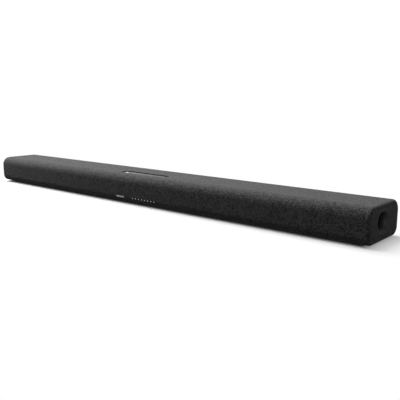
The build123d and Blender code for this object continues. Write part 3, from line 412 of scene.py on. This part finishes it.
def tint_node(tree, mask, dark, light):
    """A colour between two, chosen by a mask."""
    node = tree.nodes.new("ShaderNodeMix")
    node.data_type = "RGBA"
    for index, colour in ((6, dark), (7, light)):
        if isinstance(colour, (tuple, list)):
            node.inputs[index].default_value = (*colour, 1)
        else:
            join(tree, colour, node.inputs[index])
    join(tree, mask, node.inputs[0])
    return node.outputs[2]


# the knit: staggered stitches, each a rounded bump with its own random tone, over a fuzz of fine fibres
knit_group, knit_in, knit_out = effect_group(
    "knit_stitches",
    (("Place", "NodeSocketVector", None), ("Stitches per metre", "NodeSocketFloat", 520.0)),
    (("Height", "NodeSocketFloat"), ("Shade", "NodeSocketFloat"), ("Fuzz", "NodeSocketFloat")),
)
stitch_cells = knit_group.nodes.new("ShaderNodeTexVoronoi")
stitch_cells.voronoi_dimensions = "2D"
stitch_cells.inputs["Randomness"].default_value = 0.3
join(knit_group, knit_in.outputs["Place"], stitch_cells.inputs["Vector"])
join(knit_group, knit_in.outputs["Stitches per metre"], stitch_cells.inputs["Scale"])
stitch_tone = knit_group.nodes.new("ShaderNodeSeparateColor")
join(knit_group, stitch_cells.outputs["Color"], stitch_tone.inputs[0])
fibre_fuzz = noise_node(knit_group, knit_in.outputs["Place"], 2600, 2)
yarn_drift = noise_node(knit_group, knit_in.outputs["Place"], 45, 3)
stitch_crown = range_node(knit_group, stitch_cells.outputs["Distance"], (0.0, 0.75), (1.0, 0.0))
stitch_height = math_node(knit_group, "MULTIPLY_ADD", fibre_fuzz, 0.35, stitch_crown)
join(knit_group, stitch_height, knit_out.inputs["Height"])
drift_tone = math_node(knit_group, "MULTIPLY", yarn_drift, 0.12)
mixed_tone = math_node(knit_group, "MULTIPLY_ADD", stitch_tone.outputs[0], 0.42, drift_tone)
# painted shade: the colour darkens from each stitch's crown to its rim, as shade in the grooves between
# stitches
yarn_tone_with_painted_shade = math_node(knit_group, "MULTIPLY_ADD", stitch_crown, 0.5, mixed_tone)
join(knit_group, range_node(knit_group, yarn_tone_with_painted_shade, (0.24, 0.9), (0.0, 1.0)), knit_out.inputs["Shade"])
join(knit_group, fibre_fuzz, knit_out.inputs["Fuzz"])


def new_material(name, **values):
    """A material with the plain numbers and colours that its surface has everywhere."""
    material = bpy.data.materials.new(name)
    material.use_nodes = True
    shader = material.node_tree.nodes["Principled BSDF"]
    for label, value in values.items():
        socket = shader.inputs[label.replace("_", " ")]
        socket.default_value = (*value, 1) if isinstance(value, tuple) and len(value) == 3 else value
    return material, material.node_tree, shader


def place_node(tree, kind="Object"):
    """The place on the piece that its pattern follows."""
    return tree.nodes.new("ShaderNodeTexCoord").outputs[kind]


def use_group(tree, group, place, **values):
    """A node group with its place and its own values."""
    node = tree.nodes.new("ShaderNodeGroup")
    node.node_tree = group
    join(tree, place, node.inputs["Place"])
    for label, value in values.items():
        node.inputs[label.replace("_", " ")].default_value = value
    return node.outputs


def add_bump(tree, shader, height, depth, strength=1.0):
    """Turns a height into surface relief of a depth in metres."""
    node = tree.nodes.new("ShaderNodeBump")
    node.inputs["Strength"].default_value = strength
    node.inputs["Distance"].default_value = depth
    join(tree, height, node.inputs["Height"])
    join(tree, node.outputs[0], shader.inputs["Normal"])


charcoal_knit, tree, shader = new_material(
    "charcoal_knit", Specular_IOR_Level=0.12, Sheen_Weight=0.35, Sheen_Roughness=0.35,
    Sheen_Tint=(0.8, 0.8, 0.8),
)
stitches = use_group(tree, knit_group, place_node(tree, "UV"), Stitches_per_metre=620.0)
# the stitches' Shade output is random tone plus painted shade in the grooves between stitches
yarn_colour = tint_node(tree, stitches["Shade"], (0.001, 0.001, 0.001), (0.105, 0.105, 0.106))
join(tree, yarn_colour, shader.inputs["Base Color"])
join(tree, range_node(tree, stitches["Fuzz"], (0.3, 0.7), (0.78, 0.98)), shader.inputs["Roughness"])
add_bump(tree, shader, stitches["Height"], 0.0004, 0.8)
knit_cover.data.materials.append(charcoal_knit)

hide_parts("fabric_cover")
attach(knit_cover, "root")

# ---------------------------------------------------------------- grille frame, end caps and port tubes
# The moulded frame under the cloth, with its sound slots, and an end cap at each end whose rim rolls inwards
# as the flare of the bass port. All are black ABS with a fine satin grain, as are the tubes behind them.

# moulded plastic and rubber: a tight grain with slow, faint changes of sheen left by the mould
grain_group, grain_in, grain_out = effect_group(
    "moulded_grain",
    (("Place", "NodeSocketVector", None), ("Grains per metre", "NodeSocketFloat", 2200.0)),
    (("Height", "NodeSocketFloat"), ("Cloud", "NodeSocketFloat"), ("Fleck", "NodeSocketFloat")),
)
grain_pits = grain_group.nodes.new("ShaderNodeTexVoronoi")
grain_pits.feature = "SMOOTH_F1"
join(grain_group, grain_in.outputs["Place"], grain_pits.inputs["Vector"])
join(grain_group, grain_in.outputs["Grains per metre"], grain_pits.inputs["Scale"])
grain_dust = noise_node(grain_group, grain_in.outputs["Place"], 5200, 2)
grain_height = math_node(grain_group, "MULTIPLY_ADD", grain_dust, 0.4, grain_pits.outputs["Distance"])
join(grain_group, grain_height, grain_out.inputs["Height"])
join(grain_group, noise_node(grain_group, grain_in.outputs["Place"], 28, 4), grain_out.inputs["Cloud"])
join(grain_group, grain_dust, grain_out.inputs["Fleck"])


def moulded(name, dark, light, roughness, grains, depth, **values):
    """A moulded plastic or rubber: two close tones, a range of roughness, and a grain of a given depth."""
    material, tree, shader = new_material(name, **values)
    grain = use_group(tree, grain_group, place_node(tree), Grains_per_metre=grains)
    clouds = math_node(tree, "MULTIPLY", grain["Cloud"], 0.6)
    tone = math_node(tree, "MULTIPLY_ADD", grain["Fleck"], 0.4, clouds)
    join(tree, tint_node(tree, tone, dark, light), shader.inputs["Base Color"])
    join(tree, range_node(tree, grain["Cloud"], (0.3, 0.7), roughness), shader.inputs["Roughness"])
    add_bump(tree, shader, grain["Height"], depth)
    return material


def dress(material, *names):
    """Gives CAD pieces a material in all their slots."""
    for name in names:
        for material_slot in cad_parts[name].material_slots:
            material_slot.material = material


# partly painted light: the end caps' black ABS is coloured lighter than the same ABS of the tubes and frame,
# to light the flares' rims
flare_plastic_painted_light = moulded(
    "flare_plastic_painted_light", (0.038, 0.038, 0.038), (0.054, 0.054, 0.054), (0.42, 0.52), 2600.0, 0.00003
)
tube_plastic = moulded(
    "tube_plastic", (0.006, 0.006, 0.0065), (0.012, 0.012, 0.0125), (0.5, 0.62), 1900.0, 0.00004
)
dress(flare_plastic_painted_light, "end_cap_left", "end_cap_right")
dress(tube_plastic, "grille_frame", "port_tube_left", "port_tube_right")

# ---------------------------------------------------------------- control panel
# A long touch plate of satin black acrylic, sunk into a trim ring in the top, over its touch board. The signs
# for power, input, quieter and louder are printed on it, the first lit white and the others in grey ink.
panel_acrylic = moulded(
    "panel_acrylic", (0.02, 0.02, 0.0205), (0.03, 0.03, 0.0305), (0.46, 0.56), 1500.0, 0.000012
)
ring_plastic = moulded(
    "ring_plastic", (0.004, 0.004, 0.004), (0.008, 0.008, 0.008), (0.6, 0.75), 2400.0, 0.00002,
    Specular_IOR_Level=0.2,
)
dress(panel_acrylic, "control_panel")
dress(ring_plastic, "panel_frame")
plate_low, plate_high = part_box("control_panel")
print_z = (plate_high.z - 0.00001, plate_high.z + 0.00006)
sign_y = (plate_low.y + plate_high.y) / 2
sign_line = 0.0007


def printed_ring(x, outer, gap_width):
    """A printed ring with a gap at its far side."""
    clear_selection()
    middle_z, depth = sum(print_z) / 2, print_z[1] - print_z[0]
    place = (x, sign_y, middle_z)
    bpy.ops.mesh.primitive_cylinder_add(vertices=40, radius=outer, depth=depth, location=place)
    ring = bpy.context.object
    bpy.ops.object.transform_apply(location=True, rotation=True, scale=True)
    bpy.ops.mesh.primitive_cylinder_add(
        vertices=40, radius=outer - sign_line, depth=4 * depth, location=place
    )
    cut(ring, bpy.context.object)
    if gap_width:
        gap_low = (x - gap_width / 2, sign_y, print_z[0] - 0.001)
        gap_high = (x + gap_width / 2, 1, 0.1)
        cut(ring, box_piece("ring_gap", gap_low, gap_high))
    return ring


def printed_bar(x, y, width, length):
    """A printed bar with rounded ends."""
    bar_low = (x - width / 2, y - length / 2, print_z[0])
    bar_high = (x + width / 2, y + length / 2, print_z[1])
    bar = box_piece("bar", bar_low, bar_high)
    bevel_edges(bar, lies_along(2), min(width, length) * 0.45, 3)
    return bar


def join_pieces(name, pieces):
    """Joins pieces into one mesh with a name."""
    clear_selection()
    for piece in pieces:
        piece.select_set(True)
    bpy.context.view_layer.objects.active = pieces[0]
    bpy.ops.object.join()
    bpy.context.object.name = name
    return bpy.context.object


def printed_ink(name, dark, light, glow):
    """Ink with slightly uneven cover, and a glow where it lets a lamp through."""
    material, tree, shader = new_material(name, Emission_Strength=glow, Specular_IOR_Level=0.3)
    cover = noise_node(tree, place_node(tree), 900, 3)
    ink = tint_node(tree, cover, dark, light)
    join(tree, ink, shader.inputs["Base Color"])
    join(tree, ink, shader.inputs["Emission Color"])
    join(tree, range_node(tree, cover, (0.3, 0.7), (0.45, 0.6)), shader.inputs["Roughness"])
    return material


power_x, input_x, quieter_x, louder_x = -0.055, -0.030, -0.005, 0.020
dash_length = 0.0058
power_sign = join_pieces(
    "power_sign",
    [printed_ring(power_x, 0.0031, 0.0020), printed_bar(power_x, sign_y + 0.0024, sign_line, 0.0031)],
)
power_sign.data.materials.append(printed_ink("lit_sign", (0.75, 0.77, 0.8), (0.95, 0.97, 1.0), 1.2))
other_signs = join_pieces(
    "input_and_volume_signs",
    [
        printed_ring(input_x, 0.0030, 0), printed_ring(input_x, 0.0013, 0),
        printed_bar(quieter_x, sign_y, dash_length, sign_line),
        printed_bar(louder_x, sign_y, dash_length, sign_line),
        printed_bar(louder_x, sign_y, sign_line, dash_length),
    ],
)
# painted light: the grey ink is given a faint glow, though no lamp lies under these signs
other_signs.data.materials.append(printed_ink("grey_signs_painted_glow", (0.3, 0.3, 0.31), (0.42, 0.42, 0.43), 0.12))
for sign in (power_sign, other_signs):
    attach(sign, "root")

# ---------------------------------------------------------------- badge
# A blank slot-shaped plate of aluminium, brushed along its length. It is glued into a pocket in the front of
# the grille.

# worked metal: long fine strokes along one axis, with clouds of duller and brighter metal
strokes_group, strokes_in, strokes_out = effect_group(
    "metal_strokes",
    (("Place", "NodeSocketVector", None), ("Stretch", "NodeSocketVector", (60.0, 4200.0, 4200.0))),
    (("Height", "NodeSocketFloat"), ("Cloud", "NodeSocketFloat")),
)
stroke_place = strokes_group.nodes.new("ShaderNodeVectorMath")
stroke_place.operation = "MULTIPLY"
join(strokes_group, strokes_in.outputs["Place"], stroke_place.inputs[0])
join(strokes_group, strokes_in.outputs["Stretch"], stroke_place.inputs[1])
join(strokes_group, noise_node(strokes_group, stroke_place.outputs[0], 1, 3), strokes_out.inputs["Height"])
stroke_cloud = noise_node(strokes_group, strokes_in.outputs["Place"], 120, 3)
join(strokes_group, stroke_cloud, strokes_out.inputs["Cloud"])


def worked_metal(name, dark, light, roughness, stretch, depth, **values):
    """A bare or plated metal with strokes along one axis."""
    material, tree, shader = new_material(name, **{"Metallic": 1.0, **values})
    strokes = use_group(tree, strokes_group, place_node(tree), Stretch=stretch)
    clouds = math_node(tree, "MULTIPLY", strokes["Cloud"], 0.5)
    tone = math_node(tree, "MULTIPLY_ADD", strokes["Height"], 0.5, clouds)
    join(tree, tint_node(tree, tone, dark, light), shader.inputs["Base Color"])
    join(tree, range_node(tree, strokes["Height"], (0.3, 0.7), roughness), shader.inputs["Roughness"])
    add_bump(tree, shader, strokes["Height"], depth)
    return material


badge_aluminium = worked_metal(
    "badge_aluminium", (0.62, 0.62, 0.62), (0.97, 0.96, 0.95), (0.42, 0.6), (60.0, 4200.0, 4200.0),
    0.00001, Metallic=0.45,
)
dress(badge_aluminium, "front_badge")

# ---------------------------------------------------------------- indicator lights and their board
# Eight round pins of milky acrylic come through the cloth from one strip, and small lamps on a narrow board
# behind it light them. The board is clipped to the inside of the grille.
milky_acrylic = printed_ink("milky_acrylic", (0.84, 0.8, 0.77), (1.0, 0.96, 0.93), 0.45)
dress(milky_acrylic, "light_guide")

# circuit boards: glass-fibre weave under green mask, with copper tracks a little proud of it
board_group, board_in, board_out = effect_group(
    "board_tracks",
    (("Place", "NodeSocketVector", None), ("Tracks per metre", "NodeSocketFloat", 260.0)),
    (("Height", "NodeSocketFloat"), ("Track", "NodeSocketFloat"), ("Pad", "NodeSocketFloat")),
)
track_cells = board_group.nodes.new("ShaderNodeTexVoronoi")
track_cells.distance = "CHEBYCHEV"
track_cells.feature = "F2"
track_cells.inputs["Randomness"].default_value = 0.85
join(board_group, board_in.outputs["Place"], track_cells.inputs["Vector"])
join(board_group, board_in.outputs["Tracks per metre"], track_cells.inputs["Scale"])
track_edge = math_node(board_group, "PINGPONG", track_cells.outputs["Distance"], 0.18)
track_mask = range_node(board_group, track_edge, (0.09, 0.11), (0.0, 1.0))
pad_cells = board_group.nodes.new("ShaderNodeTexVoronoi")
pad_cells.inputs["Randomness"].default_value = 0.5
pad_cells.inputs["Scale"].default_value = 180
join(board_group, board_in.outputs["Place"], pad_cells.inputs["Vector"])
pad_mask = range_node(board_group, pad_cells.outputs["Distance"], (0.13, 0.15), (1.0, 0.0))
join(board_group, math_node(board_group, "MAXIMUM", track_mask, pad_mask), board_out.inputs["Height"])
join(board_group, track_mask, board_out.inputs["Track"])
join(board_group, pad_mask, board_out.inputs["Pad"])


def circuit_board(name, bare, track, tracks_per_metre):
    """A circuit board with masked tracks and tinned pads."""
    material, tree, shader = new_material(name, Specular_IOR_Level=0.5)
    pattern = use_group(tree, board_group, place_node(tree), Tracks_per_metre=tracks_per_metre)
    masked = tint_node(tree, pattern["Track"], bare, track)
    join(tree, tint_node(tree, pattern["Pad"], masked, (0.6, 0.6, 0.58)), shader.inputs["Base Color"])
    join(tree, pattern["Pad"], shader.inputs["Metallic"])
    join(tree, range_node(tree, pattern["Track"], (0.0, 1.0), (0.42, 0.3)), shader.inputs["Roughness"])
    add_bump(tree, shader, pattern["Height"], 0.00004)
    return material


green_board = circuit_board("green_board", (0.006, 0.045, 0.016), (0.016, 0.1, 0.035), 260.0)
dress(green_board, "indicator_board", "touch_board")

# ---------------------------------------------------------------- bottom shell, feet, hangers and case screws
# The underside and lower back: a tray of black ABS with a spark-eroded texture. It holds two rows of soft
# rubber feet, a zinc-plated keyhole plate near each end, and the plated screws that go up into the baffle.
shell_plastic = moulded(
    "shell_plastic", (0.009, 0.009, 0.0095), (0.02, 0.02, 0.021), (0.55, 0.72), 1500.0, 0.00007
)
foot_rubber = moulded(
    "foot_rubber", (0.012, 0.012, 0.012), (0.028, 0.028, 0.027), (0.78, 0.92), 1100.0, 0.00006
)
zinc_plate = worked_metal(
    "zinc_plate", (0.14, 0.14, 0.145), (0.3, 0.3, 0.31), (0.36, 0.52), (900.0, 900.0, 2600.0), 0.00002
)
dress(shell_plastic, "bottom_shell")
dress(foot_rubber, "rubber_feet")
dress(zinc_plate, "keyhole_plates", "case_screws", "driver_screws", "board_screws")

# ---------------------------------------------------------------- speaker baffle
# One grey-black moulding that carries the drivers and closes the two speaker chambers. It is screwed to the
# bottom shell.
baffle_plastic = moulded(
    "baffle_plastic", (0.012, 0.012, 0.013), (0.026, 0.026, 0.027), (0.5, 0.66), 1700.0, 0.00005
)
dress(baffle_plastic, "speaker_baffle")

# ---------------------------------------------------------------- drivers
# Four small drivers face forwards, two woofers face up, and two face up and forwards. Each has a pressed
# basket, a ferrite magnet, a rubber roll, a yellow spider, a foam gasket and a pulp cone on its voice coil.
drivers = ("front", "woofer", "height")
cones = [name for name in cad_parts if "cone" in name]


def pulp(name, dark, light, roughness, fibres, depth, **values):
    """Pressed pulp, woven cloth or foam: a tangle of fibres over slow clouds."""
    material, tree, shader = new_material(name, **values)
    place = place_node(tree)
    tangle, cloud = noise_node(tree, place, fibres, 5, 0.7), noise_node(tree, place, 90, 2)
    tone = math_node(tree, "MULTIPLY", tangle, cloud)
    join(tree, tint_node(tree, tone, dark, light), shader.inputs["Base Color"])
    join(tree, range_node(tree, tangle, (0.3, 0.7), roughness), shader.inputs["Roughness"])
    add_bump(tree, shader, tangle, depth)
    return material


dress(pulp("pulp_cone", (0.012, 0.012, 0.012), (0.09, 0.09, 0.088), (0.62, 0.9), 1400, 0.00008), *cones)
dress(
    pulp("spider_cloth", (0.28, 0.15, 0.035), (0.75, 0.5, 0.2), (0.7, 0.9), 1900, 0.00006),
    *[f"{d}_spiders" for d in drivers],
)
gasket_foam = pulp(
    "gasket_foam", (0.01, 0.01, 0.01), (0.06, 0.06, 0.06), (0.85, 1.0), 2600, 0.0001, Specular_IOR_Level=0.15
)
dress(gasket_foam, "driver_gaskets")
dress(
    moulded("roll_rubber", (0.01, 0.01, 0.01), (0.02, 0.02, 0.02), (0.45, 0.6), 900.0, 0.00001),
    *[f"{d}_surrounds" for d in drivers],
)
basket_steel = worked_metal(
    "basket_steel", (0.02, 0.02, 0.021), (0.06, 0.06, 0.062), (0.35, 0.55), (700.0, 700.0, 700.0), 0.00002
)
dress(basket_steel, *[f"{d}_baskets" for d in drivers])
magnet_ferrite = pulp(
    "magnet_ferrite", (0.03, 0.03, 0.032), (0.16, 0.155, 0.15), (0.4, 0.75), 800, 0.00003, Metallic=0.35
)
dress(magnet_ferrite, *[f"{d}_magnets" for d in drivers])

# ---------------------------------------------------------------- main board and power board
# Two green boards on posts of the bottom shell, with epoxy chips, a finned heat sink, a taped transformer and
# sleeved capacitors, and two antenna strips clipped to the ribs.
main_green = circuit_board("main_green", (0.006, 0.05, 0.018), (0.018, 0.11, 0.04), 420.0)
dress(main_green, "main_board", "power_board", "antenna_left", "antenna_right")
chip_epoxy = moulded("chip_epoxy", (0.01, 0.01, 0.01), (0.03, 0.03, 0.03), (0.5, 0.7), 3200.0, 0.00002)
dress(chip_epoxy, "board_components")
sink_aluminium = worked_metal(
    "sink_aluminium", (0.5, 0.5, 0.51), (0.78, 0.78, 0.78), (0.3, 0.5), (3000.0, 60.0, 3000.0), 0.00003
)
dress(sink_aluminium, "heat_sink")


def two_finishes(name, axis, from_value, first, second, source="Object", **values):
    """Two finishes on one piece, told apart by its place or its normal along an axis."""
    material, tree, shader = new_material(name, **values)
    place = place_node(tree)
    split = tree.nodes.new("ShaderNodeSeparateXYZ")
    join(tree, place_node(tree, source), split.inputs[0])
    mask = range_node(tree, split.outputs[axis], from_value, (0.0, 1.0))
    speckle = noise_node(tree, place, 1200, 3)
    low, high = (tint_node(tree, speckle, *pair) for pair in (first, second))
    join(tree, tint_node(tree, mask, low, high), shader.inputs["Base Color"])
    join(tree, range_node(tree, speckle, (0.3, 0.7), (0.35, 0.55)), shader.inputs["Roughness"])
    add_bump(tree, shader, speckle, 0.00002)
    return material


core_lift = 0.0025
coil_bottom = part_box("power_transformer")[0].z + core_lift
dress(
    two_finishes(
        "taped_transformer", 2, (coil_bottom, coil_bottom + 0.0004),
        ((0.02, 0.018, 0.018), (0.06, 0.055, 0.05)), ((0.55, 0.38, 0.03), (0.78, 0.58, 0.09)),
    ),
    "power_transformer",
)
dress(
    two_finishes(
        "sleeved_capacitor", 2, (0.7, 0.9),
        ((0.008, 0.01, 0.02), (0.02, 0.026, 0.05)), ((0.5, 0.5, 0.5), (0.72, 0.72, 0.72)), source="Normal",
    ),
    "power_capacitors",
)

# ---------------------------------------------------------------- sockets
# In the pockets of the back: video and service sockets in tinned steel shells, an optical socket of black
# nylon with its spring shutter, and the mains inlet with two brass pins.
socket_steel = worked_metal(
    "socket_steel", (0.5, 0.5, 0.5), (0.74, 0.74, 0.73), (0.25, 0.42), (1200.0, 80.0, 2400.0), 0.00002
)
socket_nylon = moulded(
    "socket_nylon", (0.01, 0.01, 0.01), (0.024, 0.024, 0.024), (0.38, 0.52), 2800.0, 0.00002
)
pin_brass = worked_metal(
    "pin_brass", (0.6, 0.42, 0.16), (0.85, 0.65, 0.3), (0.22, 0.38), (2400.0, 90.0, 2400.0), 0.00002
)
dress(socket_steel, "hdmi_socket", "usb_socket")
dress(socket_nylon, "optical_socket", "optical_shutter", "mains_inlet")
dress(pin_brass, "inlet_pins")

# ---------------------------------------------------------------- ribbons, wires and power lead
# Flat grey ribbons run to the touch board and the lights, a black lead joins the two boards, and a red-brown
# pair of insulated wires runs along the floor to each driver.
ribbon_grey, tree, shader = new_material("ribbon_grey", Specular_IOR_Level=0.4)
ribbon_axes = tree.nodes.new("ShaderNodeSeparateXYZ")
join(tree, place_node(tree), ribbon_axes.inputs[0])
core_wave = math_node(tree, "PINGPONG", ribbon_axes.outputs[0], 0.0005)
core_mask = range_node(tree, core_wave, (0.00005, 0.00025), (0.0, 1.0))
join(tree, tint_node(tree, core_mask, (0.16, 0.16, 0.17), (0.42, 0.42, 0.43)), shader.inputs["Base Color"])
join(tree, range_node(tree, core_mask, (0.0, 1.0), (0.6, 0.42)), shader.inputs["Roughness"])
add_bump(tree, shader, core_mask, 0.0001)
dress(ribbon_grey, "touch_ribbon", "indicator_ribbon")
lead_jacket = moulded(
    "lead_jacket", (0.008, 0.008, 0.008), (0.018, 0.018, 0.018), (0.42, 0.55), 1500.0, 0.00001
)
dress(lead_jacket, "power_lead")
wire_jacket = moulded("wire_jacket", (0.16, 0.012, 0.008), (0.3, 0.03, 0.02), (0.4, 0.52), 1500.0, 0.00001)
dress(wire_jacket, "speaker_wires")
